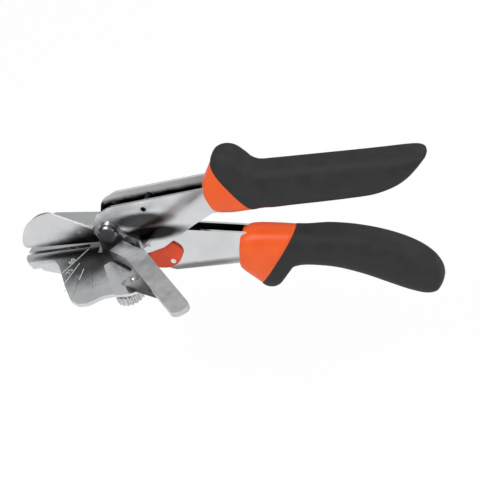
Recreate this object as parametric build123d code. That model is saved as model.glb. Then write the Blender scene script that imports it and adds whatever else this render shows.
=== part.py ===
from build123d import *
import math
import os

os.makedirs("parts", exist_ok=True)

# Hand-held mitre shears in millimetres. Everything is drawn in the table's frame: the origin is the centre
# of the angle scale on the work table's face, X runs along the blade slot towards the handles, Y points
# away from the fence, and Z is square to the table. At the end all of it is tilted about Y by rest_tilt,
# so that the keel under the table and the hook of the lower grip stand on one level.
rest_tilt = 11.7

# Pivot of the two arms
pivot_x = 16.5
pivot_z = 13.0
pivot_pin_radius = 3.0
pivot_head_radius = 5.6
pivot_head_thick = 1.8
pivot_hub_radius = 8.0
hub_lean = 0.72
running_clearance = 0.05
side_gap = 0.05
overrun = 5.0

# Plate thicknesses, from the blade's middle plane outwards
blade_thick = 1.6
carrier_thick = 2.1
carrier_round = 1.2
arm_sheet = 1.4
arm_side_gap = 1.7
cheek_sheet = 1.5
cheek_round = 2.0
ear_thick = 1.5

# Blade
blade_length = 46.0
blade_height = 22.0
blade_bevel = 3.3
blade_heel_x = 6.5
blade_heel_z = 1.7

# Upper arm, which carries the work table
cheek_top_front_x = 22.9
cheek_top_front_z = 29.2
cheek_top_back_x = 79.3
cheek_top_back_z = 32.8
cheek_low_back_z = 16.2
cheek_low_front_x = 28.4
cheek_low_front_z = -6.0
cheek_low_mid_x = 44.5
cheek_low_mid_z = -2.1
cheek_low_rear_x = 66.5
cheek_low_rear_z = 10.2
upper_tail_length = 62.0

# Lower arm, which carries the blade
lower_low_front_x = 43.0
lower_low_front_z = -20.7
lower_low_back_x = 80.5
lower_low_back_z = -21.8
lower_top_mid_x = 59.3
lower_top_mid_z = 5.2
lower_top_back_x = 89.1
lower_top_back_z = -1.7
lower_tail_drop = 11.5
lower_tail_height = 15.0
lower_tail_length = 45.0

# Grips: width across, and the reach and height that their outlines follow
grip_width = 20.0
grip_round = 8.4
grip_round_share = 0.46
upper_grip_x = 77.0
upper_grip_length = 127.0
upper_grip_low_z = 12.0
upper_grip_height = 41.0
lower_grip_x = 80.0
lower_grip_length = 111.0
lower_grip_top_z = -1.5
lower_grip_height = 56.5

# Work table
table_thick = 2.2
slot_half = 1.3
slot_end_x = -1.5
notch_x = 5.0
tip_reach = 40.0
near_reach = 51.7
far_reach = 36.0
table_back_x = 42.0
rib_thick = 2.6
rib_depth = 8.3
keel_thick = 3.4
keel_depth = 16.3
line_width = 0.5
line_depth = 0.25

# Fence
fence_x = 31.0
fence_y = -40.0
sole_lift = 0.1
leaf_thick = 1.6
fence_rise = 8.0
bar_width = 9.6
arm_width = 10.9
bar_reach = 28.0
arm_reach = 66.0
arm_tip_round = 4.5
bar_heading = 143.0
arm_heading = -53.0
fence_pin_radius = 2.5
fence_nut_radius = 8.0
fence_nut_thick = 5.0
fence_washer_thick = 1.0
fence_washer_radius = 7.0
clamp_pin_x = 37.5
clamp_pin_y = -41.3
clamp_pin_radius = 2.2
clamp_pin_rise = 4.6
knurl_count = 18
knurl_radius = 0.9

# Small hardware
washer_radius = 6.4
rivet_radius = 1.6
rivet_head_radius = 2.9
rivet_head_thick = 0.8
spring_pin_x = 41.6
spring_pin_z = 25.0
spring_pin_radius = 1.6
spring_pin_bore = 0.9
spring_wire = 0.9
spring_mean_radius = 2.2
spring_turns = 11
spring_seat_x = 53.0
spring_seat_rise = 2.0
seat_radius = 1.5
seat_collar_radius = 2.7
seat_collar_thick = 0.8

# Latch
latch_x = 45.4
latch_z = -13.5
latch_thick = 1.3
latch_reach = 13.6
latch_hook_inner = 18.8
latch_hook_outer = 20.8
latch_pin_radius = 1.5
latch_pin_head_radius = 2.6
catch_x = 36.0
catch_z = 0.5
catch_radius = 1.25

# Half widths that follow from the plates
blade_half = blade_thick / 2
carrier_face = blade_half + carrier_thick
lower_half = carrier_face + arm_sheet
cheek_inner = lower_half + arm_side_gap
cheek_outer = cheek_inner + cheek_sheet
ear_outer = cheek_outer + ear_thick
floor_z = -table_thick


# Shapes
def spread(shares, start_x, start_z, length, height):
    return [(start_x + sx * length, start_z + sz * height) for sx, sz in shares]


def side_plate(points, low_y, high_y, corners=None):
    if corners is None:
        line = Polyline(*points, close=True)
    else:
        line = FilletPolyline(*points, radius=corners, close=True)
    face = Plane.XZ.offset(-high_y) * make_face(line)
    return extrude(face, amount=high_y - low_y)


def flat_plate(points, low_z, high_z, corners=None):
    if corners is None:
        line = Polyline(*points, close=True)
    else:
        line = FilletPolyline(*points, radius=corners, close=True)
    return extrude(Plane.XY.offset(low_z) * make_face(line), amount=high_z - low_z)


def cross_bar(x, z, radius, low_y, high_y):
    return extrude(Plane.XZ.offset(-high_y) * Pos(x, z) * Circle(radius), amount=high_y - low_y)


def post(x, y, radius, low_z, high_z):
    return extrude(Plane.XY.offset(low_z) * Pos(x, y) * Circle(radius), amount=high_z - low_z)


def mirrored(shape):
    return Part() + [shape, shape.mirror(Plane.XZ)]


def pin_hole(radius=pivot_pin_radius):
    return cross_bar(pivot_x, pivot_z, radius, -ear_outer - overrun, ear_outer + overrun)


def hub(low_y, high_y, radius=pivot_hub_radius):
    return cross_bar(pivot_x, pivot_z, radius, low_y, high_y)


nodes = {}

# Upper arm: two cheeks round the lower arm, joined by a web behind, with a channel tail in the grip
tail_top_z = cheek_top_back_z
tail_end_x = cheek_top_back_x + upper_tail_length
cheek_points = [
    (pivot_x - pivot_hub_radius, pivot_z + blade_thick),
    (pivot_x - 2.6 * cheek_sheet, cheek_top_front_z - 3 * cheek_sheet),
    (cheek_top_front_x, cheek_top_front_z),
    (cheek_top_back_x, cheek_top_back_z),
    (tail_end_x, tail_top_z),
    (tail_end_x, cheek_low_back_z + cheek_sheet),
    (cheek_top_back_x, cheek_low_back_z),
    (cheek_low_rear_x, cheek_low_rear_z),
    (cheek_low_mid_x, cheek_low_mid_z),
    (cheek_low_front_x, cheek_low_front_z),
    (pivot_x, cheek_low_front_z + pivot_hub_radius / 2),
]
cheek_corners = [cheek_round, 3.5 * cheek_round, 3 * cheek_round] + 8 * [cheek_round]
cheek_blank = side_plate(cheek_points, cheek_inner, cheek_outer, cheek_corners)
cheek_blank += hub(cheek_inner, cheek_outer)
web_points = [
    (cheek_low_rear_x, cheek_low_rear_z),
    (cheek_top_back_x, cheek_low_back_z),
    (tail_end_x - cheek_round, cheek_low_back_z + cheek_sheet),
    (tail_end_x - cheek_round, cheek_low_back_z + 2 * cheek_sheet),
    (cheek_top_back_x, cheek_low_back_z + cheek_sheet),
    (cheek_low_rear_x, cheek_low_rear_z + cheek_sheet),
]
upper_arm = mirrored(cheek_blank) + side_plate(web_points, -cheek_inner, cheek_inner)
upper_arm -= pin_hole()
upper_arm -= cross_bar(spring_pin_x, spring_pin_z, spring_pin_radius, -ear_outer, ear_outer)
rivet_x = pivot_x + pivot_hub_radius + rivet_head_radius
rivet_z = rivet_head_radius + rivet_head_thick
upper_arm -= cross_bar(rivet_x, rivet_z, rivet_radius, -ear_outer, ear_outer)
upper_arm -= cross_bar(catch_x, catch_z, catch_radius, -cheek_outer, -cheek_inner)
nodes["upper_arm"] = upper_arm

# Lower arm: a narrower channel between the cheeks, open upwards, with its tail in the lower grip
lower_tail_x = lower_top_back_x + lower_tail_length
lower_end_top_z = lower_top_back_z - lower_tail_drop
lower_end_low_z = lower_end_top_z - lower_tail_height
lower_points = [
    (pivot_x - pivot_hub_radius * hub_lean, pivot_z - pivot_hub_radius * hub_lean),
    (lower_low_front_x - arm_sheet, lower_low_front_z + arm_sheet),
    (lower_low_front_x + arm_sheet, lower_low_front_z),
    (lower_low_back_x, lower_low_back_z),
    (lower_tail_x, lower_end_low_z),
    (lower_tail_x, lower_end_top_z),
    (lower_top_back_x, lower_top_back_z),
    (lower_top_mid_x, lower_top_mid_z),
    (pivot_x + pivot_hub_radius * hub_lean, pivot_z + pivot_hub_radius * hub_lean),
]
lower_wall = side_plate(lower_points, carrier_face, lower_half) + hub(carrier_face, lower_half)
lower_web_points = [
    (lower_low_front_x + arm_sheet, lower_low_front_z),
    (lower_low_back_x, lower_low_back_z),
    (lower_tail_x, lower_end_low_z),
    (lower_tail_x, lower_end_low_z + arm_sheet),
    (lower_low_back_x, lower_low_back_z + arm_sheet),
    (lower_low_front_x + arm_sheet, lower_low_front_z + arm_sheet),
]
lower_arm = mirrored(lower_wall) + side_plate(lower_web_points, -carrier_face, carrier_face)
lower_arm -= pin_hole(pivot_pin_radius + running_clearance)
lower_arm -= cross_bar(latch_x, latch_z, latch_pin_radius, -ear_outer, ear_outer)
screw_x = pivot_x + pivot_hub_radius + rivet_head_radius
screw_z = pivot_z + blade_half
lower_arm -= cross_bar(screw_x, screw_z, rivet_radius, -ear_outer, ear_outer)
nodes["lower_arm"] = lower_arm

# Blade: one ground plate whose tang goes round the pivot and back to the arm's rivet
blade_shares = [
    (0.0, 0.0), (1.03, 0.11), (0.995, 0.41), (0.905, 0.76), (0.735, 1.0), (0.64, 1.085), (0.52, 1.11),
    (0.04, 0.43),
]
blade_corners = [0, 2.6, 24.0, 16.0, 16.0, 13.0, 4.0, 1.0] + 4 * [0]
blade_points = spread(blade_shares, blade_heel_x, blade_heel_z, -blade_length, blade_height)
tang_top = (pivot_x - pivot_hub_radius * hub_lean, pivot_z + pivot_hub_radius * hub_lean)
blade_points += [
    tang_top,
    (screw_x, screw_z + rivet_head_radius),
    (screw_x + rivet_head_radius, screw_z - rivet_head_radius),
    (pivot_x, pivot_z - pivot_hub_radius),
]
blade = side_plate(blade_points, -blade_half, blade_half, blade_corners)
blade -= pin_hole(pivot_pin_radius + running_clearance)
blade -= cross_bar(screw_x, screw_z, rivet_radius, -ear_outer, ear_outer)
tip = blade_points[1]
heel = blade_points[0]
for side in (-1, 1):
    wedge_line = Polyline(
        (side * blade_half, blade_bevel),
        (side * (blade_half + overrun), blade_bevel),
        (side * (blade_half + overrun), -overrun),
        (side * blade_thick / 16, -overrun),
        (side * blade_thick / 16, 0),
        close=True,
    )
    run = Plane(origin=(heel[0] + overrun, 0, heel[1]), x_dir=(0, 1, 0), z_dir=(-1, 0, 0))
    wedge = extrude(run * make_face(wedge_line), amount=blade_length + 2 * overrun)
    lean = math.degrees(math.atan2(tip[1] - heel[1], heel[0] - tip[0]))
    blade -= Pos(heel[0], 0, heel[1]) * Rot(0, lean, 0) * Pos(-heel[0], 0, -heel[1]) * wedge
nodes["blade"] = blade

# Carrier plate behind the blade and a round spacer in front of it, inside the lower arm's hub
carrier_points = [
    (blade_heel_x - blade_length * 0.33, blade_heel_z + blade_height * 0.29),
    (blade_heel_x - blade_length * 0.33, blade_heel_z + blade_height * 0.61),
    (blade_heel_x - blade_length * 0.05, blade_heel_z + blade_height * 0.42),
    tang_top,
    (screw_x, screw_z + rivet_head_radius),
    (screw_x + rivet_head_radius, screw_z - rivet_head_radius),
    (pivot_x, pivot_z - pivot_hub_radius),
]
carrier = side_plate(carrier_points, blade_half, carrier_face, carrier_round)
carrier -= pin_hole(pivot_pin_radius + running_clearance)
carrier -= cross_bar(screw_x, screw_z, rivet_radius, -ear_outer, ear_outer)
carrier_screw_places = [
    (carrier_points[0][0] + rivet_head_radius + rivet_radius, carrier_points[0][1] + rivet_head_radius),
    (pivot_x - pivot_hub_radius - rivet_head_radius - side_gap, pivot_z - rivet_head_radius - rivet_radius),
]
spacer = hub(-carrier_face, -blade_half) - pin_hole(pivot_pin_radius + running_clearance)
nodes["blade_spacer"] = spacer
screws = Part()
for place_x, place_z in carrier_screw_places:
    carrier -= cross_bar(place_x, place_z, rivet_radius, blade_half, carrier_face)
    nodes["blade"] -= cross_bar(place_x, place_z, rivet_radius, -blade_half, blade_half)
    screws += cross_bar(place_x, place_z, rivet_radius, -blade_half, carrier_face)
    screws += cross_bar(place_x, place_z, rivet_head_radius, carrier_face, carrier_face + rivet_head_thick)
nodes["blade_carrier"] = carrier
nodes["blade_screws"] = screws
arm_rivet = cross_bar(screw_x, screw_z, rivet_radius, -lower_half, lower_half)
for side in (-1, 1):
    head_ends = sorted((side * lower_half, side * (lower_half + rivet_head_thick)))
    arm_rivet += cross_bar(screw_x, screw_z, rivet_head_radius, *head_ends)
nodes["carrier_rivet"] = arm_rivet

# Work table: one casting with a near and a far wing, ribs along the slot, a keel under it and two ears
near_shares = [
    (-0.995, -0.077), (-0.94, -0.16), (-0.57, -0.165), (-0.48, -0.21), (-0.39, -0.327), (-0.19, -0.66),
    (-0.015, -0.907), (0.125, -0.994), (0.275, -1.0), (0.46, -0.91), (0.7, -0.89),
]
far_shares = [
    (0.6, 0.55), (0.3, 0.78), (0.0, 0.835), (-0.435, 0.925), (-0.82, 1.0), (-0.96, 0.96), (-1.0, 0.83),
    (-0.975, 0.22),
]
ear_back_x = rivet_x + rivet_head_radius + cheek_sheet
table_points = [(-tip_reach, -slot_half / 2)]
table_points += [(sx * tip_reach, sy * near_reach) for sx, sy in near_shares]
table_points += [
    (table_back_x, fence_y - fence_pin_radius * 2),
    (table_back_x, fence_y + fence_pin_radius * 2),
    (ear_back_x + ear_thick, -ear_outer - ear_thick),
    (ear_back_x, -ear_outer),
    (ear_back_x, ear_outer),
]
table_points += [(sx * tip_reach, sy * far_reach) for sx, sy in far_shares]
table_points += [(-tip_reach, slot_half / 2)]
table_corners = [0, 1.0, 1.5, 4.0, 3.0, 8.0, 12.0, 6.0, 3.0, 4.0, 6.0, 3.0, 3.0, 3.0, 1.0, 0, 0]
table_corners += [4.0, 4.0, 6.0, 9.0, 3.0, 1.5, 2.0, 6.0, 0]
table = flat_plate(table_points, floor_z, 0, table_corners)
rib_outer = slot_half + rib_thick
rib_points = [
    (-tip_reach + rib_thick / 4, 0),
    (-tip_reach, -rib_depth / 2),
    (-tip_reach + rib_thick / 2, -rib_depth),
    (notch_x - rib_thick / 2, -rib_depth),
    (notch_x - rib_thick / 2, 0),
]
table += mirrored(side_plate(rib_points, slot_half / 2, rib_outer))
keel_points = [
    (-tip_reach * 0.885, -rib_depth * 0.6),
    (-tip_reach * 0.885, -keel_depth * 0.59),
    (-tip_reach * 0.86, -keel_depth * 0.72),
    (-tip_reach * 0.59, -keel_depth),
    (notch_x - rib_thick, -keel_depth),
    (notch_x - rib_thick, -rib_depth * 0.6),
]
table += side_plate(keel_points, -keel_thick / 2, keel_thick / 2)
ear_hub_radius = pivot_head_radius + ear_thick / 2
ear_points = [
    (pivot_x - ear_hub_radius - ear_thick, floor_z),
    (pivot_x - ear_hub_radius, pivot_z),
    (pivot_x + ear_hub_radius, pivot_z),
    (ear_back_x, rivet_z + rivet_head_radius),
    (ear_back_x, floor_z),
]
slot_floor_z = -rib_depth * 0.6
slot_cut = Pos((slot_end_x - tip_reach - overrun) / 2, 0, (slot_floor_z + overrun) / 2) * Box(
    slot_end_x + tip_reach + overrun, 2 * slot_half, overrun - slot_floor_z
)
notch_cut = Pos((notch_x + ear_back_x + overrun) / 2, 0, 0) * Box(
    ear_back_x + overrun - notch_x, 2 * cheek_outer, 4 * overrun
)
table = table - slot_cut - notch_cut
ear = side_plate(ear_points, cheek_outer, ear_outer) + hub(cheek_outer, ear_outer, ear_hub_radius)
table += mirrored(ear)
table -= pin_hole()
table -= cross_bar(rivet_x, rivet_z, rivet_radius, -ear_outer, ear_outer)
table -= post(fence_x, fence_y, fence_pin_radius + running_clearance, floor_z - overrun, overrun)
scale_lines = [(60, 3.5, 25.0), (75, 15.5, 33.0), (90, 20.5, 48.0), (105, 26.0, 44.0), (120, 24.0, 42.0)]
for heading, inner, outer in scale_lines:
    groove = Pos(-(inner + outer) / 2, 0, 0) * Box(outer - inner, line_width, 2 * line_depth)
    table -= Rot(0, 0, heading) * groove
nodes["work_table"] = table

# Pivot: a domed screw from the near side, a nut on the far side and thin washers in the side gaps
pivot_grip = cross_bar(pivot_x, pivot_z, pivot_pin_radius, -ear_outer, ear_outer + pivot_head_thick)
head_blank = cross_bar(pivot_x, pivot_z, pivot_head_radius, -ear_outer - pivot_head_thick, -ear_outer)
dome = chamfer(head_blank.edges().group_by(Axis.Y)[0], pivot_head_thick / 2)
nodes["pivot_screw"] = pivot_grip + dome
nut_plane = Plane.XZ.offset(-ear_outer - pivot_head_thick) * Pos(pivot_x, pivot_z)
nut_blank = extrude(nut_plane * RegularPolygon(pivot_head_radius, 6), amount=pivot_head_thick)
nodes["pivot_nut"] = nut_blank - cross_bar(
    pivot_x, pivot_z, pivot_pin_radius, ear_outer, ear_outer + pivot_head_thick
)
washer = hub(lower_half + side_gap, cheek_inner, washer_radius) - pin_hole()
nodes["pivot_washers"] = mirrored(washer)
ear_rivet = cross_bar(rivet_x, rivet_z, rivet_radius, cheek_inner - rivet_head_thick, ear_outer)
ear_rivet += cross_bar(rivet_x, rivet_z, rivet_head_radius, cheek_inner - rivet_head_thick, cheek_inner)
nodes["ear_rivets"] = mirrored(ear_rivet)

# Grips: a moulded sleeve with a coloured collar in front, hollow for the arm's tail
# Each station: share of the length, top and bottom as shares of the height, share of the width
upper_stations = [
    (0.0, 0.42, 0.26, 0.7), (0.022, 0.56, 0.13, 0.84), (0.05, 0.68, 0.06, 0.92), (0.085, 0.86, 0.035, 0.97),
    (0.12, 0.97, 0.035, 0.98), (0.155, 1.0, 0.035, 0.98), (0.2, 0.9, 0.035, 0.98), (0.25, 0.7, 0.035, 1.0),
    (0.31, 0.66, 0.035, 1.0), (0.45, 0.635, 0.025, 1.0), (0.66, 0.6, 0.0, 1.0), (0.8, 0.585, 0.035, 0.99),
    (0.9, 0.57, 0.17, 0.94), (0.96, 0.555, 0.31, 0.85), (1.0, 0.51, 0.42, 0.6),
]
lower_stations = [
    (0.0, 0.37, 0.47, 0.66), (0.03, 0.2, 0.55, 0.82), (0.07, 0.08, 0.63, 0.92), (0.11, 0.03, 0.69, 0.97),
    (0.155, 0.0, 0.69, 0.98), (0.2, 0.02, 0.61, 0.98), (0.24, 0.035, 0.52, 1.0), (0.31, 0.06, 0.485, 1.0),
    (0.45, 0.1, 0.53, 1.0), (0.6, 0.165, 0.65, 1.0), (0.74, 0.26, 0.835, 1.0), (0.85, 0.37, 0.96, 0.98),
    (0.93, 0.5, 0.98, 0.93), (0.975, 0.64, 0.93, 0.84), (1.0, 0.74, 0.84, 0.6),
]


def grip_body(stations, start_x, zero_z, length, height):
    sections = []
    for along_share, top_share, low_share, wide_share in stations:
        tall = abs(top_share - low_share) * abs(height)
        wide = wide_share * grip_width
        middle = zero_z + (top_share + low_share) / 2 * height
        plane = Plane(origin=(start_x + along_share * length, 0, middle), x_dir=(0, 1, 0), z_dir=(1, 0, 0))
        corner = min(grip_round, grip_round_share * tall, grip_round_share * wide)
        sections.append(plane * RectangleRounded(wide, tall, corner))
    return loft(sections)


upper_body = grip_body(upper_stations, upper_grip_x, upper_grip_low_z, upper_grip_length, upper_grip_height)
upper_body -= side_plate(cheek_points, -cheek_outer, cheek_outer, cheek_corners)
lower_body = grip_body(lower_stations, lower_grip_x, lower_grip_top_z, lower_grip_length, -lower_grip_height)
lower_body -= side_plate(lower_points, -lower_half, lower_half)
reach = upper_grip_height
upper_cut_points = [
    (upper_grip_x + upper_grip_length * 0.08, upper_grip_low_z + upper_grip_height + reach),
    (upper_grip_x + upper_grip_length * 0.075, upper_grip_low_z + upper_grip_height * 0.9),
    (upper_grip_x + upper_grip_length * 0.13, upper_grip_low_z + upper_grip_height * 0.64),
    (upper_grip_x + upper_grip_length * 0.19, upper_grip_low_z + upper_grip_height * 0.2),
    (upper_grip_x + upper_grip_length * 0.2, upper_grip_low_z - reach),
    (upper_grip_x - reach, upper_grip_low_z - reach),
    (upper_grip_x - reach, upper_grip_low_z + upper_grip_height + reach),
]
lower_cut_points = [
    (lower_grip_x + lower_grip_length * 0.36, lower_grip_top_z + reach),
    (lower_grip_x + lower_grip_length * 0.33, lower_grip_top_z - lower_grip_height * 0.07),
    (lower_grip_x + lower_grip_length * 0.23, lower_grip_top_z - lower_grip_height * 0.2),
    (lower_grip_x + lower_grip_length * 0.15, lower_grip_top_z - lower_grip_height * 0.44),
    (lower_grip_x + lower_grip_length * 0.075, lower_grip_top_z - lower_grip_height * 0.66),
    (lower_grip_x + lower_grip_length * 0.05, lower_grip_top_z - lower_grip_height - reach),
    (lower_grip_x - reach, lower_grip_top_z - lower_grip_height - reach),
    (lower_grip_x - reach, lower_grip_top_z + reach),
]
upper_front = side_plate(upper_cut_points, -grip_width, grip_width)
lower_front = side_plate(lower_cut_points, -grip_width, grip_width)
nodes["upper_grip_collar"] = upper_body & upper_front
nodes["upper_grip_sleeve"] = upper_body - upper_front
nodes["lower_grip_collar"] = lower_body & lower_front
nodes["lower_grip_sleeve"] = lower_body - lower_front

# Fence: a steel leaf on the table, a cast bar and long arm on it, and a clamp bolt with a knurled nut
leaf_shares = [
    (-0.64, 0.64), (-0.49, 0.74), (-0.04, 0.36), (0.34, 0.1), (0.36, -0.3), (0.2, -0.37), (-0.15, -0.35),
]
leaf_corners = [1.5, 1.5, 1.0, 1.5, 2.0, 3.0, 2.0]
leaf_points = [(fence_x + sx * bar_reach, fence_y + sy * bar_reach) for sx, sy in leaf_shares]
leaf_top = sole_lift + leaf_thick
leaf = flat_plate(leaf_points, sole_lift, leaf_top, leaf_corners)


def beam(heading, length, half_width, low_z, high_z, shift=0):
    blank = Pos(length / 2, shift, (low_z + high_z) / 2) * Box(length, 2 * half_width, high_z - low_z)
    return Pos(elbow_x, elbow_y, 0) * Rot(0, 0, heading) * blank


elbow_x = fence_x + bar_width * 0.48
elbow_y = fence_y + arm_width * 1.38
flange_low = fence_rise - leaf_thick * 2
casting = beam(bar_heading, bar_reach * 0.66, bar_width / 2, leaf_top, fence_rise)
casting += post(elbow_x, elbow_y, arm_width / 2, leaf_top, fence_rise)
top_flange = beam(arm_heading, arm_reach, arm_width / 2, flange_low, fence_rise)
tip_edges = top_flange.edges().filter_by(Axis.Z).sort_by_distance((elbow_x, elbow_y, fence_rise))[-2:]
casting += fillet(tip_edges, arm_tip_round)
web_length = arm_reach - 2 * arm_tip_round
casting += beam(arm_heading, web_length, leaf_thick / 2, leaf_top, fence_rise, arm_width / 2 - leaf_thick / 2)
arm_turn = math.radians(arm_heading)
gusset_reach = arm_reach * 0.72
gusset_end = (elbow_x + gusset_reach * math.cos(arm_turn), elbow_y + gusset_reach * math.sin(arm_turn))
gusset_points = [
    (elbow_x, elbow_y),
    (clamp_pin_x - 2 * clamp_pin_radius, clamp_pin_y + clamp_pin_radius),
    (clamp_pin_x - 2 * clamp_pin_radius, clamp_pin_y - 2 * clamp_pin_radius),
    gusset_end,
]
casting += flat_plate(gusset_points, leaf_top, flange_low)
clamp_top = leaf_top + clamp_pin_rise
clamp_hole = post(clamp_pin_x, clamp_pin_y, clamp_pin_radius, sole_lift, clamp_top)
nodes["fence_casting"] = casting - clamp_hole
stud_hole = post(fence_x, fence_y, fence_pin_radius, sole_lift, leaf_top)
nodes["fence_leaf"] = leaf - stud_hole - clamp_hole
clamp_pin = chamfer(clamp_hole.edges().group_by(Axis.Z)[-1], clamp_pin_radius / 4)
nodes["fence_rivet"] = clamp_pin
nut_top = floor_z - sole_lift - fence_washer_thick
nut_bottom = nut_top - fence_nut_thick
nodes["fence_pin"] = post(fence_x, fence_y, fence_pin_radius, nut_bottom, leaf_top)
washer_blank = post(fence_x, fence_y, fence_washer_radius, nut_top, floor_z - sole_lift)
nodes["fence_washer"] = washer_blank - post(fence_x, fence_y, fence_pin_radius, nut_top, floor_z)
fence_nut = post(fence_x, fence_y, fence_nut_radius, nut_bottom, nut_top)
for place in PolarLocations(fence_nut_radius, knurl_count):
    groove = Pos(fence_x, fence_y, nut_bottom + fence_nut_thick / 2) * place
    fence_nut -= groove * Cylinder(knurl_radius, 2 * fence_nut_thick)
nodes["fence_nut"] = fence_nut - post(fence_x, fence_y, fence_pin_radius, nut_bottom, nut_top)

# Latch on the lower arm's near side: a hook that closes over a stud on the upper arm
latch_face = -lower_half - (arm_side_gap - latch_thick) / 2


def ring_point(angle, radius):
    turn = math.radians(angle)
    return (latch_x + radius * math.cos(turn), latch_z + radius * math.sin(turn))


hook_angles = (166, 160, 152, 144, 134)
latch_points = [ring_point(angle, latch_hook_outer) for angle in hook_angles]
latch_points += [ring_point(angle, latch_hook_inner) for angle in hook_angles[:2:-1]]
latch_points += [
    ring_point(152, latch_hook_inner),
    ring_point(152, latch_reach),
    ring_point(130, latch_reach),
    ring_point(105, latch_reach),
    ring_point(81, latch_reach),
    ring_point(34, latch_reach * 0.76),
    ring_point(-35, latch_reach * 0.26),
    ring_point(-130, latch_reach * 0.42),
    ring_point(-164, latch_reach * 0.86),
    ring_point(176, latch_reach),
]
latch_corners = [0.5, 0, 0, 0, 0.5, 0.5, 0, 0.4, 0.8, 0, 0, 6.5, 5.8, 11.0, 11.0, 5.8, 0.5]
latch = side_plate(latch_points, latch_face - latch_thick, latch_face, latch_corners)
nodes["latch"] = latch - cross_bar(
    latch_x, latch_z, latch_pin_radius + running_clearance, -ear_outer, ear_outer
)
latch_pin = cross_bar(latch_x, latch_z, latch_pin_radius, -cheek_inner, lower_half + rivet_head_thick)
latch_pin += cross_bar(latch_x, latch_z, latch_pin_head_radius, lower_half, lower_half + rivet_head_thick)
nodes["latch_pin"] = latch_pin
nodes["catch_stud"] = cross_bar(catch_x, catch_z, catch_radius, -cheek_outer, -cheek_inner + latch_thick)

# Return spring between the roll pin of the upper arm and a seat on the lower arm's web
roll_pin = cross_bar(spring_pin_x, spring_pin_z, spring_pin_radius, -cheek_outer, cheek_outer)
roll_bore = cross_bar(spring_pin_x, spring_pin_z, spring_pin_bore, -cheek_outer, cheek_outer)
nodes["spring_pin"] = roll_pin - roll_bore
seat_z = lower_low_front_z + arm_sheet
spring_seat = post(spring_seat_x, 0, seat_collar_radius, seat_z, seat_z + seat_collar_thick)
spring_seat += post(spring_seat_x, 0, seat_radius, seat_z, seat_z + seat_collar_thick + spring_seat_rise)
nodes["spring_seat"] = spring_seat
spring_start = Vector(spring_seat_x, 0, seat_z + seat_collar_thick + spring_wire)
pin_line = Vector(spring_pin_x, 0, spring_pin_z) - spring_start
spring_length = pin_line.length - spring_pin_radius - spring_wire
coil = Helix(spring_length / spring_turns, spring_length, spring_mean_radius)
coil_start = Plane(origin=coil @ 0, z_dir=coil % 0)
spring = sweep(coil_start * Circle(spring_wire / 2), path=coil, is_frenet=True)
spring_lean = math.degrees(math.atan2(pin_line.X, pin_line.Z))
nodes["return_spring"] = Pos(*spring_start) * Rot(0, spring_lean, 0) * spring

# Tilt into the standing pose and write one file for each node
for name, shape in nodes.items():
    standing = Rot(0, -rest_tilt, 0) * shape
    export_step(Compound(children=[Solid(s.wrapped) for s in standing.solids()]), f"parts/{name}.step")
tilt = math.radians(rest_tilt)
for name, x, y, z in (
    ("main pivot", pivot_x, 0, pivot_z),
    ("fence pivot", fence_x, fence_y, 0),
    ("latch pivot", latch_x, 0, latch_z),
):
    standing_x = x * math.cos(tilt) - z * math.sin(tilt)
    standing_z = x * math.sin(tilt) + z * math.cos(tilt)
    print(name, round(standing_x, 4), y, round(standing_z, 4))
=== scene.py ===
import bmesh
import bpy
import math
from mathutils import Matrix, Vector


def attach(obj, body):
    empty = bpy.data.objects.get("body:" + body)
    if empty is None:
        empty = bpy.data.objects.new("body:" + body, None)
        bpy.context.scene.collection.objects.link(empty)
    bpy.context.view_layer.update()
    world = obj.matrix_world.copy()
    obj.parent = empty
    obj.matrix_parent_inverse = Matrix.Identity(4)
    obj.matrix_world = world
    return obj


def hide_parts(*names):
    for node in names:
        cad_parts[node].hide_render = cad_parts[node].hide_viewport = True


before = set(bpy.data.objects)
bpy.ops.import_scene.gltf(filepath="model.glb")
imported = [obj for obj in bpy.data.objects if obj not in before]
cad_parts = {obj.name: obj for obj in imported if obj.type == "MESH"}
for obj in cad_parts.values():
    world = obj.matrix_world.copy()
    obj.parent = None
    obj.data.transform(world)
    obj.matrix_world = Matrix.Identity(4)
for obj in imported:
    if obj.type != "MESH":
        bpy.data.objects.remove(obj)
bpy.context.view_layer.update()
mm = 0.001
view = {"tiltDeg": 11.7, "photoTurnDeg": 7.1, "azimuthDeg": 12.0, "elevationDeg": 40.0, "mmPerPixel": 0.55,
        "pivotPixel": (112.0, 223.5), "imagePixels": 480, "distance": 1500.0, "sensor": 36.0,
        "clipEnd": 20000.0}
pivot = Vector((16.5, 0.0, 13.0))  # in the table's own axes, millimetres
tilt = Matrix.Rotation(math.radians(-view["tiltDeg"]), 3, "Y")  # table axes to the standing tool


def place(x, y, z):
    return tilt @ Vector((x, y, z)) * mm


def newMesh(name, points, faces, smooth=True):
    mesh = bpy.data.meshes.new(name)
    mesh.from_pydata([tuple(p) for p in points], [], faces)
    mesh.validate()
    mesh.update()
    for face in mesh.polygons:
        face.use_smooth = smooth
    thing = bpy.data.objects.new(name, mesh)
    bpy.context.collection.objects.link(thing)
    return thing


def useMaterial(thing, material):
    thing.data.materials.clear()
    thing.data.materials.append(material)


# Shader groups that several finishes share, and what a finish has when it doesn't say otherwise
shaderValues = {
    "specular": 0.5, "grainDetail": 3.0, "patchDetail": 2.0, "lineScale": 1.0, "lineDetail": 4.0,
    "smudgeScale": 70.0, "smudgeDetail": 3.0, "rippleScale": 90.0, "ripple": 0.35, "soft": 0.35,
    "bloomReach": 1.35, "noiseLow": 0.3, "noiseHigh": 0.7,
}
colourA, colourB, colourOut = 6, 7, 2  # a Mix node's sockets for colours
numberA, numberB, numberOut = 2, 3, 0  # and for plain numbers


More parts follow.
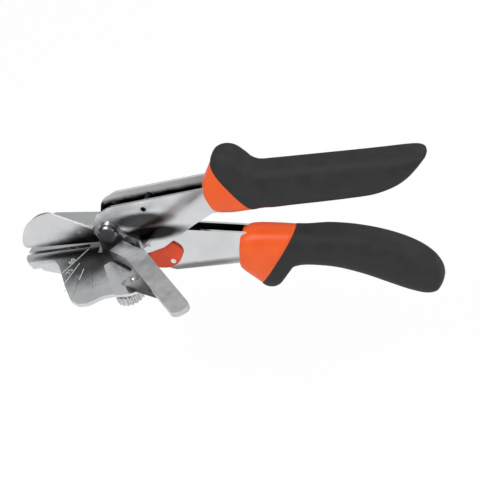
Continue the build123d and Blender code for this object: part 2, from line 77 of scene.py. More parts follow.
def newGroup(name, inputs, outputs):
    group = bpy.data.node_groups.new(name, "ShaderNodeTree")
    for label, kind, value in inputs:
        socket = group.interface.new_socket(label, in_out="INPUT", socket_type=kind)
        socket.default_value = value
    for label, kind in outputs:
        group.interface.new_socket(label, in_out="OUTPUT", socket_type=kind)
    return group, group.nodes.new("NodeGroupInput"), group.nodes.new("NodeGroupOutput")


def link(tree, source, target):
    tree.links.new(source, target)


def buildGrain():
    # fine all-over grain: a height, and a mask of soft patches for colour and gloss
    group, ins, outs = newGroup("fineGrain", [
        ("Grain Scale", "NodeSocketFloat", 2500.0), ("Patch Scale", "NodeSocketFloat", 60.0),
    ], [("Height", "NodeSocketFloat"), ("Patch", "NodeSocketFloat")])
    coords = group.nodes.new("ShaderNodeTexCoord")
    fine = group.nodes.new("ShaderNodeTexNoise")
    fine.inputs["Detail"].default_value = shaderValues["grainDetail"]
    patch = group.nodes.new("ShaderNodeTexNoise")
    patch.inputs["Detail"].default_value = shaderValues["patchDetail"]
    link(group, coords.outputs["Object"], fine.inputs["Vector"])
    link(group, coords.outputs["Object"], patch.inputs["Vector"])
    link(group, ins.outputs["Grain Scale"], fine.inputs["Scale"])
    link(group, ins.outputs["Patch Scale"], patch.inputs["Scale"])
    link(group, fine.outputs["Fac"], outs.inputs["Height"])
    link(group, patch.outputs["Fac"], outs.inputs["Patch"])
    return group


def buildBrush():
    # long thin scratches from stretched noise; Turn sets their direction
    group, ins, outs = newGroup("brushLines", [
        ("Stretch", "NodeSocketVector", (60.0, 900.0, 2500.0)), ("Turn", "NodeSocketVector", (0.0, 0.0, 0.0)),
    ], [("Lines", "NodeSocketFloat"), ("Smudge", "NodeSocketFloat")])
    coords = group.nodes.new("ShaderNodeTexCoord")
    turn = group.nodes.new("ShaderNodeMapping")
    stretch = group.nodes.new("ShaderNodeVectorMath")
    stretch.operation = "MULTIPLY"
    lines = group.nodes.new("ShaderNodeTexNoise")
    lines.inputs["Scale"].default_value = shaderValues["lineScale"]
    lines.inputs["Detail"].default_value = shaderValues["lineDetail"]
    smudge = group.nodes.new("ShaderNodeTexNoise")
    smudge.inputs["Scale"].default_value = shaderValues["smudgeScale"]
    smudge.inputs["Detail"].default_value = shaderValues["smudgeDetail"]
    link(group, coords.outputs["Object"], turn.inputs["Vector"])
    link(group, ins.outputs["Turn"], turn.inputs["Rotation"])
    link(group, turn.outputs["Vector"], stretch.inputs[0])
    link(group, ins.outputs["Stretch"], stretch.inputs[1])
    link(group, stretch.outputs["Vector"], lines.inputs["Vector"])
    link(group, coords.outputs["Object"], smudge.inputs["Vector"])
    link(group, lines.outputs["Fac"], outs.inputs["Lines"])
    link(group, smudge.outputs["Fac"], outs.inputs["Smudge"])
    return group


def buildBloom():
    # soft mask round a centre, stretched by its radii, with an uneven edge, where painted shade and painted
    # reflections are laid on
    group, ins, outs = newGroup("paintedLightMask", [
        ("Centre", "NodeSocketVector", (0.0, 0.0, 0.0)), ("Radii", "NodeSocketVector", (1.0, 1.0, 1.0)),
        ("Soft", "NodeSocketFloat", shaderValues["soft"]),
        ("Ripple", "NodeSocketFloat", shaderValues["ripple"]),
    ], [("Mask", "NodeSocketFloat")])
    coords = group.nodes.new("ShaderNodeTexCoord")
    tableAxes = group.nodes.new("ShaderNodeVectorRotate")
    tableAxes.rotation_type = "Y_AXIS"
    tableAxes.inputs["Angle"].default_value = math.radians(view["tiltDeg"])
    shift = group.nodes.new("ShaderNodeVectorMath")
    shift.operation = "SUBTRACT"
    share = group.nodes.new("ShaderNodeVectorMath")
    share.operation = "DIVIDE"
    reach = group.nodes.new("ShaderNodeVectorMath")
    reach.operation = "LENGTH"
    ripple = group.nodes.new("ShaderNodeTexNoise")
    ripple.inputs["Scale"].default_value = shaderValues["rippleScale"]
    uneven = group.nodes.new("ShaderNodeMath")
    uneven.operation = "MULTIPLY_ADD"
    edge = group.nodes.new("ShaderNodeMapRange")
    edge.interpolation_type = "SMOOTHSTEP"
    edge.inputs["From Min"].default_value = shaderValues["bloomReach"]
    edge.inputs["To Min"].default_value = 0.0
    edge.inputs["To Max"].default_value = 1.0
    link(group, coords.outputs["Object"], tableAxes.inputs["Vector"])
    link(group, tableAxes.outputs["Vector"], shift.inputs[0])
    link(group, ins.outputs["Centre"], shift.inputs[1])
    link(group, shift.outputs["Vector"], share.inputs[0])
    link(group, ins.outputs["Radii"], share.inputs[1])
    link(group, share.outputs["Vector"], reach.inputs[0])
    link(group, coords.outputs["Object"], ripple.inputs["Vector"])
    link(group, ripple.outputs["Fac"], uneven.inputs[0])
    link(group, ins.outputs["Ripple"], uneven.inputs[1])
    link(group, reach.outputs["Value"], uneven.inputs[2])
    link(group, uneven.outputs["Value"], edge.inputs["Value"])
    link(group, ins.outputs["Soft"], edge.inputs["From Max"])
    link(group, edge.outputs["Result"], outs.inputs["Mask"])
    return group


fineGrain = buildGrain()
brushLines = buildBrush()
paintedLightMask = buildBloom()


def startMaterial(name, values):
    material = bpy.data.materials.new(name)
    material.use_nodes = True
    shader = material.node_tree.nodes["Principled BSDF"]
    shader.inputs["Metallic"].default_value = values["metallic"]
    shader.inputs["Specular IOR Level"].default_value = values.get("specular", shaderValues["specular"])
    return material, material.node_tree, shader


def mixBetween(tree, factor, low, high):
    ramp = tree.nodes.new("ShaderNodeMapRange")
    ramp.inputs["From Min"].default_value = shaderValues["noiseLow"]
    ramp.inputs["From Max"].default_value = shaderValues["noiseHigh"]
    ramp.inputs["To Min"].default_value = low
    ramp.inputs["To Max"].default_value = high
    link(tree, factor, ramp.inputs["Value"])
    return ramp.outputs["Result"]


def colourBetween(tree, factor, dark, light):
    mix = tree.nodes.new("ShaderNodeMix")
    mix.data_type = "RGBA"
    mix.inputs[colourA].default_value = (*dark, 1.0)
    mix.inputs[colourB].default_value = (*light, 1.0)
    link(tree, factor, mix.inputs["Factor"])
    return mix.outputs[colourOut]


def addBump(tree, shader, height, strength, depth):
    bump = tree.nodes.new("ShaderNodeBump")
    bump.inputs["Strength"].default_value = strength
    bump.inputs["Distance"].default_value = depth * mm
    link(tree, height, bump.inputs["Height"])
    link(tree, bump.outputs["Normal"], shader.inputs["Normal"])


def addStains(tree, shader, colour, values):
    # painted shade and painted reflections laid over the colour as soft grey patches; some also change how
    # much the surface mirrors the studio
    metallic = None
    for spot in values.get("paintedLight", ()):
        bloom = tree.nodes.new("ShaderNodeGroup")
        bloom.node_tree = paintedLightMask
        bloom.inputs["Centre"].default_value = [value * mm for value in spot["centre"]]
        bloom.inputs["Radii"].default_value = [value * mm for value in spot["radii"]]
        bloom.inputs["Soft"].default_value = spot["soft"]
        bloom.inputs["Ripple"].default_value = spot.get("ripple", shaderValues["ripple"])
        paintedPatch = tree.nodes.new("ShaderNodeMix")
        paintedPatch.data_type = "RGBA"
        paintedPatch.inputs[colourB].default_value = (spot["shade"], spot["shade"], spot["shade"], 1.0)
        link(tree, bloom.outputs["Mask"], paintedPatch.inputs["Factor"])
        link(tree, colour, paintedPatch.inputs[colourA])
        colour = paintedPatch.outputs[colourOut]
        if "metallic" in spot:
            fade = tree.nodes.new("ShaderNodeMix")
            fade.inputs[numberA].default_value = values["metallic"]
            fade.inputs[numberB].default_value = spot["metallic"]
            link(tree, bloom.outputs["Mask"], fade.inputs["Factor"])
            if metallic is not None:
                link(tree, metallic, fade.inputs[numberA])
            metallic = fade.outputs[numberOut]
    if metallic is not None:
        link(tree, metallic, shader.inputs["Metallic"])
    link(tree, colour, shader.inputs["Base Color"])


def metalFinish(name, values):
    material, tree, shader = startMaterial(name, values)
    brush = tree.nodes.new("ShaderNodeGroup")
    brush.node_tree = brushLines
    brush.inputs["Stretch"].default_value = values["stretch"]
    brush.inputs["Turn"].default_value = values.get("turn", (0.0, 0.0, 0.0))
    low, high = values["rough"]
    link(tree, mixBetween(tree, brush.outputs["Smudge"], low, high), shader.inputs["Roughness"])
    mask = mixBetween(tree, brush.outputs["Smudge"], 0.0, 1.0)
    colour = colourBetween(tree, mask, values["dark"], values["light"])
    addStains(tree, shader, colour, values)
    addBump(tree, shader, brush.outputs["Lines"], values["bump"], values["depth"])
    return material


def grainFinish(name, values):
    material, tree, shader = startMaterial(name, values)
    grain = tree.nodes.new("ShaderNodeGroup")
    grain.node_tree = fineGrain
    grain.inputs["Grain Scale"].default_value = values["grain"]
    grain.inputs["Patch Scale"].default_value = values["patch"]
    low, high = values["rough"]
    link(tree, mixBetween(tree, grain.outputs["Patch"], low, high), shader.inputs["Roughness"])
    mask = mixBetween(tree, grain.outputs["Patch"], 0.0, 1.0)
    addStains(tree, shader, colourBetween(tree, mask, values["dark"], values["light"]), values)
    addBump(tree, shader, grain.outputs["Height"], values["bump"], values["depth"])
    return material


finishes = {
    "upperSteel": {
        "metallic": 1.0, "rough": (0.13, 0.2), "dark": (0.6, 0.61, 0.62), "light": (0.68, 0.69, 0.7),
        "stretch": (40.0, 900.0, 1200.0), "bump": 0.08, "depth": 0.02,
        # painted reflections: two dark bands on the near cheek; painted light: a pale satin patch over the
        # far cheek's inner face; painted shade: a black band low on that face inside the channel
        "paintedLight": [
            {"centre": (37.0, -7.5, 17.8), "radii": (20.0, 1.0, 5.6), "soft": 0.75, "shade": 0.06},
            {"centre": (40.0, -7.5, 8.6), "radii": (24.0, 1.0, 5.4), "soft": 0.75, "shade": 0.025},
            {"centre": (50.0, 6.0, 20.0), "radii": (200.0, 1.2, 60.0), "soft": 1.0, "shade": 0.62,
             "metallic": 0.1},
            {"centre": (90.0, 6.0, 6.0), "radii": (120.0, 1.2, 17.8), "soft": 1.15, "shade": 0.012,
             "metallic": 1.0, "ripple": 0.12},
        ],
    },
    "lowerSteel": {
        "metallic": 1.0, "rough": (0.13, 0.2), "dark": (0.6, 0.61, 0.62), "light": (0.68, 0.69, 0.7),
        "stretch": (40.0, 900.0, 1200.0), "bump": 0.08, "depth": 0.02,
        # painted shade: black inside the channel, and a darker band low on the near wall
        "paintedLight": [
            {"centre": (72.0, 0.0, -9.0), "radii": (60.0, 3.6, 12.0), "soft": 0.9, "shade": 0.012},
            {"centre": (58.0, -4.3, -19.5), "radii": (40.0, 1.0, 3.0), "soft": 0.5, "shade": 0.2},
        ],
    },
    "carrierSteel": {
        "metallic": 1.0, "rough": (0.2, 0.3), "dark": (0.55, 0.56, 0.57), "light": (0.66, 0.67, 0.68),
        "stretch": (40.0, 900.0, 1200.0), "bump": 0.1, "depth": 0.02,
    },
    "bladeSteel": {
        "metallic": 1.0, "rough": (0.24, 0.32), "dark": (0.58, 0.59, 0.6), "light": (0.66, 0.67, 0.68),
        "stretch": (60.0, 900.0, 2200.0), "bump": 0.1, "depth": 0.02,
        # painted dark reflections over the blade's lower part, darkest near its edge
        "paintedLight": [
            {"centre": (4.0, 0.0, 5.5), "radii": (26.0, 9.0, 10.0), "soft": 0.3, "shade": 0.03},
            {"centre": (-10.0, 0.0, 2.4), "radii": (34.0, 9.0, 4.6), "soft": 0.3, "shade": 0.012},
        ],
    },
    "plainSteel": {
        "metallic": 1.0, "rough": (0.22, 0.36), "dark": (0.3, 0.3, 0.31), "light": (0.5, 0.5, 0.51),
        "stretch": (300.0, 300.0, 300.0), "bump": 0.1, "depth": 0.03,
    },
    # its very dark colour is painted dark reflection, as on the pivot screw's head
    "pivotSteel": {
        "metallic": 1.0, "rough": (0.18, 0.26), "dark": (0.12, 0.12, 0.125),
        "light": (0.22, 0.22, 0.225), "stretch": (300.0, 300.0, 300.0), "bump": 0.1, "depth": 0.03,
    },
    "shadowSteel": {
        "metallic": 1.0, "rough": (0.3, 0.4), "dark": (0.02, 0.02, 0.021), "light": (0.04, 0.04, 0.041),
        "stretch": (300.0, 300.0, 300.0), "bump": 0.1, "depth": 0.03,
    },
    "tableChrome": {
        "metallic": 1.0, "rough": (0.2, 0.3), "dark": (0.56, 0.57, 0.58), "light": (0.66, 0.67, 0.68),
        "stretch": (900.0, 60.0, 900.0), "turn": (0.0, 0.0, 0.5), "bump": 0.12, "depth": 0.03,
        # painted dark reflections round the scale's centre, along the blade and on the ear
        "paintedLight": [
            {"centre": (2.0, -14.0, 0.0), "radii": (26.0, 24.0, 9.0), "soft": 0.5, "shade": 0.07},
            {"centre": (-16.0, -5.5, 0.0), "radii": (22.0, 4.0, 5.0), "soft": 0.5, "shade": 0.05},
            {"centre": (18.0, -9.0, 8.0), "radii": (12.0, 3.0, 12.0), "soft": 0.5, "shade": 0.06},
        ],
    },
    "leafSteel": {
        "metallic": 1.0, "rough": (0.2, 0.3), "dark": (0.62, 0.63, 0.64), "light": (0.72, 0.73, 0.74),
        "stretch": (200.0, 200.0, 200.0), "bump": 0.06, "depth": 0.03,
    },
    "castAlloy": {
        "metallic": 1.0, "rough": (0.28, 0.4), "dark": (0.46, 0.46, 0.47), "light": (0.66, 0.66, 0.67),
        "grain": 700.0, "patch": 160.0, "bump": 0.5, "depth": 0.12,
        # painted shade on the web under the fence's arm
        "paintedLight": [
            {"centre": (47.0, -54.0, 2.6), "radii": (19.0, 19.0, 3.0), "soft": 0.8, "shade": 0.05},
        ],
    },
    "orangeGrip": {
        "metallic": 0.0, "rough": (0.34, 0.44), "dark": (0.76, 0.085, 0.008),
        "light": (0.82, 0.105, 0.012), "grain": 900.0, "patch": 90.0, "bump": 0.12, "depth": 0.06,
        "specular": 0.35,
    },
    "blackGrip": {
        "metallic": 0.0, "rough": (0.58, 0.7), "dark": (0.018, 0.018, 0.019),
        "light": (0.026, 0.026, 0.027), "grain": 2200.0, "patch": 110.0, "bump": 0.6, "depth": 0.09,
        "specular": 0.25,
    },
    "latchPaint": {
        "metallic": 0.0, "rough": (0.3, 0.4), "dark": (0.56, 0.042, 0.006),
        "light": (0.68, 0.06, 0.009), "grain": 900.0, "patch": 120.0, "bump": 0.1, "depth": 0.05,
        "specular": 0.35,
    },
    "inkShade": {
        "metallic": 0.6, "rough": (0.4, 0.5), "dark": (0.2, 0.2, 0.205), "light": (0.3, 0.3, 0.305),
        "grain": 2500.0, "patch": 300.0, "bump": 0.1, "depth": 0.02,
    },
    # painted highlight: the pale colour of the engraved lines and of the lower numbers
    "scaleHighlight": {
        "metallic": 0.0, "rough": (0.5, 0.6), "dark": (0.5, 0.5, 0.51), "light": (0.72, 0.72, 0.73),
        "grain": 2500.0, "patch": 300.0, "bump": 0.1, "depth": 0.02,
    },
}
grained = ("castAlloy", "orangeGrip", "blackGrip", "latchPaint", "scaleHighlight", "inkShade")
materials = {}
for name, values in finishes.items():
    materials[name] = grainFinish(name, values) if name in grained else metalFinish(name, values)
nodeFinish = {
    "upper_arm": "upperSteel", "lower_arm": "lowerSteel", "blade": "bladeSteel",
    "blade_carrier": "carrierSteel", "pivot_screw": "pivotSteel", "ear_rivets": "pivotSteel",
    "return_spring": "pivotSteel", "spring_pin": "shadowSteel", "work_table": "tableChrome",
    "fence_casting": "castAlloy", "fence_leaf": "leafSteel", "latch_pin": "leafSteel",
    "fence_nut": "castAlloy", "upper_grip_collar": "orangeGrip", "lower_grip_collar": "orangeGrip",
    "upper_grip_sleeve": "blackGrip", "lower_grip_sleeve": "blackGrip", "latch": "latchPaint",
}
for nodeName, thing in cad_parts.items():
    useMaterial(thing, materials[nodeFinish.get(nodeName, "plainSteel")])
print("finishes done")

# Grips: rings from the top line to the bottom line, smoothed between, with rounded-box sections.
# Each ring holds top x, top z, bottom x, bottom z and half width, in millimetres of the table's axes.
upperGrip = {
    "squareness": 0.72, "ringSteps": 5, "sides": 56,
    "collar": [
        (79.6, 30.8, 82.2, 17.6, 7.0), (78.3, 31.8, 80.6, 16.2, 8.2), (78.4, 34.0, 82.5, 14.2, 9.1),
        (80.8, 38.0, 89.0, 12.9, 9.7), (84.0, 42.4, 96.0, 12.6, 10.0), (87.0, 46.4, 102.4, 12.6, 10.0),
    ],
    "sleeve": [
        (87.0, 46.6, 102.6, 12.4, 10.0), (88.6, 49.6, 104.4, 12.4, 10.0),
        (91.4, 52.2, 106.0, 12.4, 9.9), (95.6, 53.2, 107.6, 12.4, 9.9), (99.8, 51.8, 109.4, 12.4, 9.9),
        (102.8, 47.6, 111.2, 12.4, 10.0), (105.6, 42.8, 113.2, 12.4, 10.0),
        (110.5, 39.6, 116.5, 12.4, 10.0), (120.0, 38.8, 124.0, 12.4, 10.0),
        (140.0, 37.8, 140.0, 12.0, 10.0), (160.0, 36.8, 156.0, 11.8, 10.0),
        (178.0, 36.0, 170.0, 12.2, 10.0), (192.0, 35.4, 181.5, 15.2, 9.9),
        (199.5, 34.6, 190.0, 19.6, 9.2), (203.0, 32.8, 196.8, 25.0, 7.2),
        (203.8, 31.0, 201.4, 28.6, 3.2),
    ],
}
lowerGrip = {
    "squareness": 0.76, "ringSteps": 5, "sides": 56,
    "collar": [
        (88.8, -5.4, 84.0, -20.2, 5.4), (87.8, -4.2, 82.4, -21.6, 7.6), (90.0, -2.4, 81.8, -25.0, 9.2),
        (96.5, -1.8, 83.8, -29.0, 9.8), (107.0, -3.4, 86.6, -33.4, 10.0),
        (118.7, -5.9, 89.2, -37.6, 10.0),
    ],
    "sleeve": [
        (118.9, -5.8, 89.0, -37.8, 10.0), (121.2, -6.1, 90.8, -40.2, 10.0),
        (123.6, -6.5, 94.6, -41.4, 10.0), (126.4, -6.9, 98.8, -40.0, 10.0),
        (129.4, -7.3, 102.2, -36.2, 10.0), (132.4, -7.8, 105.6, -31.6, 10.0),
        (136.4, -8.4, 110.8, -28.6, 10.0), (142.4, -9.7, 119.4, -28.6, 10.0),
        (151.4, -12.2, 134.4, -32.6, 10.0), (162.4, -16.4, 148.4, -39.8, 10.0),
        (173.2, -22.2, 160.4, -47.8, 10.0), (182.0, -29.2, 170.4, -54.2, 9.9),
        (187.6, -37.0, 178.6, -57.6, 9.6), (190.0, -44.4, 184.6, -57.4, 8.2),
        (190.4, -49.2, 188.0, -54.6, 5.0), (190.2, -51.2, 189.4, -52.8, 1.8),
    ],
}


def smoothRows(rows, steps):
    # a smooth curve through the rows, each value by itself
    result = []
    last = len(rows) - 1
    for i in range(last):
        before, here, there, after = rows[max(i - 1, 0)], rows[i], rows[i + 1], rows[min(i + 2, last)]
        for step in range(steps):
            t = step / steps
            row = []
            for a, b, c, d in zip(before, here, there, after):
                bend = 2 * a - 5 * b + 4 * c - d
                twist = 3 * b - a - 3 * c + d
                row.append(0.5 * (2 * b + (c - a) * t + bend * t * t + twist * t ** 3))
            result.append(row)
    result.append(list(rows[last]))
    return result


def gripPiece(name, rows, values):
    sides = values["sides"]
    points, faces = [], []
    rings = smoothRows(rows, values["ringSteps"])
    for topX, topZ, lowX, lowZ, half in rings:
        for side in range(sides):
            angle = 2 * math.pi * side / sides
            up = math.copysign(abs(math.sin(angle)) ** values["squareness"], math.sin(angle))
            out = math.copysign(abs(math.cos(angle)) ** values["squareness"], math.cos(angle))
            x = (topX + lowX) / 2 + (topX - lowX) / 2 * up
            z = (topZ + lowZ) / 2 + (topZ - lowZ) / 2 * up
            points.append(place(x, half * out, z))
    for ring in range(len(rings) - 1):
        for side in range(sides):
            a, b = ring * sides + side, ring * sides + (side + 1) % sides
            faces.append((a, b, b + sides, a + sides))
    faces.append(tuple(range(sides)))
    faces.append(tuple(range(len(points) - 1, len(points) - sides - 1, -1)))
    piece = newMesh(name, points, faces)
    work = bmesh.new()
    work.from_mesh(piece.data)
    bmesh.ops.recalc_face_normals(work, faces=work.faces)
    work.to_mesh(piece.data)
    work.free()
    return piece


gripSections = (("collar", "orangeGrip", "orange_grip"), ("sleeve", "blackGrip", "black_grip"))
for side, values, body in (("upper", upperGrip, "table_arm"), ("lower", lowerGrip, "blade_arm")):
    for section, finish, slot in gripSections:
        piece = gripPiece(f"{side}Grip{section.title()}", values[section], values)
        useMaterial(piece, materials[finish])
        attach(piece, body)
        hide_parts(f"{side}_grip_{section}")
print("grips done")

# Angle scale on the table: painted highlight in the engraved lines, numbers beside them and fine ticks.
# A highlight row holds heading, inner and outer radius, and a number its value, heading and radius, in
# degrees and millimetres. Numbers under lightBelow are pale, as painted highlight, and those from flipFrom up
# are turned to read upright.
angleScale = {
    "highlightRows": [(60, 3.5, 25.0), (75, 15.5, 33.0), (90, 20.5, 30.0)], "highlightHalf": 0.24, "highlightTop": 0.02,
    "highlightLow": -0.24,
    "numbers": [(60, 52.5, 15.5), (75, 69.0, 23.0), (90, 86.5, 27.5), (105, 101.0, 33.5), (120, 114.5, 30.5)],
    "textSize": 4.4, "textHalf": 0.05, "lightBelow": 90, "flipFrom": 100, "weldGap": 0.001,
    "tickStart": 80.0, "tickStep": 2.5, "tickCount": 17, "tickRadius": 38.5, "tickSize": (1.6, 0.22, 0.08),
}


def scaleMatrix(heading, radius, turnDeg):
    angle = math.radians(heading)
    spot = place(-radius * math.cos(angle), -radius * math.sin(angle), 0.0)
    return Matrix.Translation(spot) @ (tilt @ Matrix.Rotation(math.radians(turnDeg), 3, "Z")).to_4x4()


def settle(draft, name, matrix):
    # the draft's final mesh as a plain welded piece, with its place in its mesh
    graph = bpy.context.evaluated_depsgraph_get()
    mesh = bpy.data.meshes.new_from_object(draft.evaluated_get(graph))
    bpy.data.objects.remove(draft)
    work = bmesh.new()
    work.from_mesh(mesh)
    bmesh.ops.remove_doubles(work, verts=work.verts, dist=angleScale["weldGap"] * mm)
    for face in work.faces:
        face.smooth = False
    work.to_mesh(mesh)
    work.free()
    mesh.transform(matrix)
    piece = bpy.data.objects.new(name, mesh)
    bpy.context.collection.objects.link(piece)
    return piece


def addScalePiece(piece, finish):
    useMaterial(piece, materials[finish])
    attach(piece, "table_arm")


def lineFills(values):
    # pale bars along the engraved lines, as painted highlight
    points, faces = [], []
    for heading, inner, outer in values["highlightRows"]:
        angle = math.radians(heading)
        a = len(points)
        for z in (values["highlightLow"], values["highlightTop"]):
            for radius, side in ((inner, 1), (outer, 1), (outer, -1), (inner, -1)):
                across = side * values["highlightHalf"]
                x = -radius * math.cos(angle) - across * math.sin(angle)
                y = -radius * math.sin(angle) + across * math.cos(angle)
                points.append(place(x, y, z))
        faces += [(a, a + 3, a + 2, a + 1), (a + 4, a + 5, a + 6, a + 7), (a, a + 1, a + 5, a + 4),
                  (a + 1, a + 2, a + 6, a + 5), (a + 2, a + 3, a + 7, a + 6), (a + 3, a, a + 4, a + 7)]
    return newMesh("scaleHighlights", points, faces, smooth=False)


def scaleNumber(value, heading, radius, values):
    curve = bpy.data.curves.new("numberDraft", "FONT")
    curve.body = str(value)
    curve.size = values["textSize"] * mm
    curve.extrude = values["textHalf"] * mm
    curve.align_x, curve.align_y = "CENTER", "CENTER"
    draft = bpy.data.objects.new("numberDraft", curve)
    bpy.context.collection.objects.link(draft)
    turnDeg = value if value < values["flipFrom"] else value - 180
    return settle(draft, f"scaleNumber{value}", scaleMatrix(heading, radius, turnDeg))


def tickArc(values):
    tree = bpy.data.node_groups.new("tickArc", "GeometryNodeTree")
    tree.interface.new_socket("Geometry", in_out="OUTPUT", socket_type="NodeSocketGeometry")
    sizes = {
        "Count": ("NodeSocketInt", values["tickCount"]),
        "Start": ("NodeSocketFloat", math.radians(values["tickStart"])),
        "Step": ("NodeSocketFloat", math.radians(values["tickStep"])),
        "Reach": ("NodeSocketFloat", -values["tickRadius"] * mm),  # towards -X and -Y
        "Bar": ("NodeSocketVector", [side * mm for side in values["tickSize"]]),
    }
    draft = newMesh("tickDraft", [], [])
    modifier = draft.modifiers.new("tickArc", "NODES")
    sockets = {}
    for label, (kind, size) in sizes.items():
        sockets[label] = tree.interface.new_socket(label, in_out="INPUT", socket_type=kind)
    modifier.node_group = tree
    for label, (kind, size) in sizes.items():
        modifier[sockets[label].identifier] = size
    ins = tree.nodes.new("NodeGroupInput")
    outs = tree.nodes.new("NodeGroupOutput")
    index = tree.nodes.new("GeometryNodeInputIndex")
    angle = tree.nodes.new("ShaderNodeMath")
    angle.operation = "MULTIPLY_ADD"
    spot = tree.nodes.new("ShaderNodeCombineXYZ")
    for operation, socket in (("COSINE", "X"), ("SINE", "Y")):
        part = tree.nodes.new("ShaderNodeMath")
        part.operation = operation
        reach = tree.nodes.new("ShaderNodeMath")
        reach.operation = "MULTIPLY"
        link(tree, angle.outputs["Value"], part.inputs[0])
        link(tree, part.outputs["Value"], reach.inputs[0])
        link(tree, ins.outputs["Reach"], reach.inputs[1])
        link(tree, reach.outputs["Value"], spot.inputs[socket])
    spin = tree.nodes.new("ShaderNodeCombineXYZ")
    dots = tree.nodes.new("GeometryNodePoints")
    bar = tree.nodes.new("GeometryNodeMeshCube")
    copies = tree.nodes.new("GeometryNodeInstanceOnPoints")
    real = tree.nodes.new("GeometryNodeRealizeInstances")
    paint = tree.nodes.new("GeometryNodeSetMaterial")
    paint.inputs["Material"].default_value = materials["inkShade"]
    link(tree, index.outputs["Index"], angle.inputs[0])
    link(tree, ins.outputs["Step"], angle.inputs[1])
    link(tree, ins.outputs["Start"], angle.inputs[2])
    link(tree, angle.outputs["Value"], spin.inputs["Z"])
    link(tree, ins.outputs["Count"], dots.inputs["Count"])
    link(tree, spot.outputs["Vector"], dots.inputs["Position"])
    link(tree, ins.outputs["Bar"], bar.inputs["Size"])
    link(tree, dots.outputs[0], copies.inputs["Points"])
    link(tree, bar.outputs["Mesh"], copies.inputs["Instance"])
    link(tree, spin.outputs["Vector"], copies.inputs["Rotation"])
    link(tree, copies.outputs["Instances"], real.inputs["Geometry"])
    link(tree, real.outputs["Geometry"], paint.inputs["Geometry"])
    link(tree, paint.outputs["Geometry"], outs.inputs["Geometry"])
    return settle(draft, "scaleTicks", tilt.to_4x4())


addScalePiece(lineFills(angleScale), "scaleHighlight")
for value, heading, radius in angleScale["numbers"]:
    finish = "scaleHighlight" if value < angleScale["lightBelow"] else "inkShade"
    addScalePiece(scaleNumber(value, heading, radius, angleScale), finish)
addScalePiece(tickArc(angleScale), "inkShade")
print("angle scale done")

# Floor and light
stageValues = {  # the floor in millimetres
    "floorZ": -130.0, "floorSize": 3000.0, "floorColour": (0.9, 0.9, 0.9, 1.0), "floorRough": 0.8,
    "floorGlow": 0.95, "ambient": (0.52, 0.52, 0.53, 1.0), "backdrop": (1.0, 1.0, 1.0, 1.0),
}
floorZ = stageValues["floorZ"] * mm
half = stageValues["floorSize"] * mm / 2
corners = [(-half, -half, floorZ), (half, -half, floorZ), (half, half, floorZ), (-half, half, floorZ)]
floor = newMesh("studioFloor", corners, [(0, 1, 2, 3)])
floorMaterial = bpy.data.materials.new("studioWhite")
floorMaterial.use_nodes = True
floorTree = floorMaterial.node_tree
floorShader = floorTree.nodes["Principled BSDF"]
floorShader.inputs["Base Color"].default_value = stageValues["floorColour"]
floorShader.inputs["Roughness"].default_value = stageValues["floorRough"]
glow = floorTree.nodes.new("ShaderNodeEmission")
rays = floorTree.nodes.new("ShaderNodeLightPath")
blend = floorTree.nodes.new("ShaderNodeMixShader")
soften = floorTree.nodes.new("ShaderNodeMath")
soften.operation = "MULTIPLY"
soften.inputs[1].default_value = stageValues["floorGlow"]
link(floorTree, rays.outputs["Is Camera Ray"], soften.inputs[0])
link(floorTree, soften.outputs["Value"], blend.inputs["Fac"])
link(floorTree, floorShader.outputs["BSDF"], blend.inputs[1])
link(floorTree, glow.outputs["Emission"], blend.inputs[2])
link(floorTree, blend.outputs["Shader"], floorTree.nodes["Material Output"].inputs["Surface"])
useMaterial(floor, floorMaterial)

world = bpy.data.worlds.new("studioWorld")
bpy.context.scene.world = world
world.use_nodes = True
worldTree = world.node_tree
background = worldTree.nodes["Background"]
worldRays = worldTree.nodes.new("ShaderNodeLightPath")
sky = worldTree.nodes.new("ShaderNodeTexCoord")
split = worldTree.nodes.new("ShaderNodeSeparateXYZ")
bands = worldTree.nodes.new("ShaderNodeValToRGB")
bandStops = [  # height share and grey of the bands that the metal mirrors, from straight down to straight up
    (0.0, 0.6), (0.42, 0.55), (0.5, 0.12), (0.58, 0.06), (0.66, 0.3), (0.76, 0.8), (0.88, 0.85), (1.0, 0.3),
]
for spot, level in bandStops[1:-1]:
    bands.color_ramp.elements.new(spot)
for element, (spot, level) in zip(bands.color_ramp.elements, bandStops):
    element.position = spot
    element.color = (level, level, level, 1.0)
lift = worldTree.nodes.new("ShaderNodeMapRange")
lift.inputs["From Min"].default_value = -1.0
pick = worldTree.nodes.new("ShaderNodeMix")
pick.data_type = "RGBA"
pick.inputs[colourA].default_value = stageValues["ambient"]
white = worldTree.nodes.new("ShaderNodeMix")
white.data_type = "RGBA"
white.inputs[colourB].default_value = stageValues["backdrop"]
link(worldTree, sky.outputs["Generated"], split.inputs["Vector"])
link(worldTree, split.outputs["Z"], lift.inputs["Value"])
link(worldTree, lift.outputs["Result"], bands.inputs["Fac"])
link(worldTree, worldRays.outputs["Is Glossy Ray"], pick.inputs["Factor"])
link(worldTree, bands.outputs["Color"], pick.inputs[colourB])
link(worldTree, pick.outputs[colourOut], white.inputs[colourA])
link(worldTree, worldRays.outputs["Is Camera Ray"], white.inputs["Factor"])
link(worldTree, white.outputs[colourOut], background.inputs["Color"])

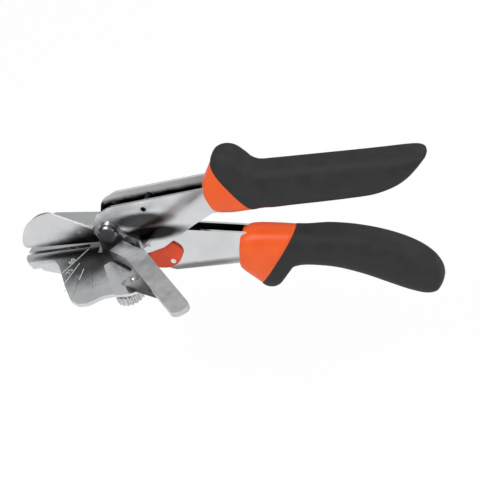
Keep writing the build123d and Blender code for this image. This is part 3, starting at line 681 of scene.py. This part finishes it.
lampAim = (0.06, 0.0, 0.0)
lamps = {  # places and sizes in metres, as lampAim is
    "keyLight": {"spot": (-0.35, -0.55, 0.75), "width": 0.6, "height": 0.4, "power": 5.2},
    "fillLight": {"spot": (0.7, -0.3, 0.5), "width": 0.5, "height": 0.5, "power": 2.4},
    "backLight": {"spot": (0.55, 0.65, 0.6), "width": 0.6, "height": 0.3, "power": 1.9},
}


def softBox(name, values):
    lamp = bpy.data.lights.new(name, "AREA")
    lamp.shape = "RECTANGLE"
    lamp.size = values["width"]
    lamp.size_y = values["height"]
    lamp.energy = values["power"]
    thing = bpy.data.objects.new(name, lamp)
    thing.location = values["spot"]
    direction = Vector(lampAim) - Vector(values["spot"])
    thing.rotation_euler = direction.to_track_quat("-Z", "Y").to_euler()
    bpy.context.collection.objects.link(thing)


for name, values in lamps.items():
    softBox(name, values)

# Camera at the photograph's angle; the frame's centre is found from the pivot's pixel
azimuth, elevation = math.radians(view["azimuthDeg"]), math.radians(view["elevationDeg"])
turn = Matrix.Rotation(math.radians(view["photoTurnDeg"]), 3, "Y")
right = turn @ Vector((math.cos(azimuth), math.sin(azimuth), 0.0))
upward = turn @ Vector((
    -math.sin(azimuth) * math.sin(elevation), math.cos(azimuth) * math.sin(elevation), math.cos(elevation)))
backward = right.cross(upward)
middle = view["imagePixels"] / 2
target = tilt @ pivot + right * (middle - view["pivotPixel"][0]) * view["mmPerPixel"]
target -= upward * (middle - view["pivotPixel"][1]) * view["mmPerPixel"]
camera = bpy.data.cameras.new("photoCamera")
camera.sensor_width = view["sensor"]
camera.lens = view["sensor"] * view["distance"] / (view["imagePixels"] * view["mmPerPixel"])
camera.clip_end = view["clipEnd"] * mm
cameraObject = bpy.data.objects.new("photoCamera", camera)
cameraObject.matrix_world = Matrix.Translation((target + backward * view["distance"]) * mm) @ Matrix(
    (right, upward, backward)).transposed().to_4x4()
bpy.context.collection.objects.link(cameraObject)
bpy.context.scene.camera = cameraObject
bpy.context.scene.view_settings.view_transform = "Standard"
print("camera and light done")
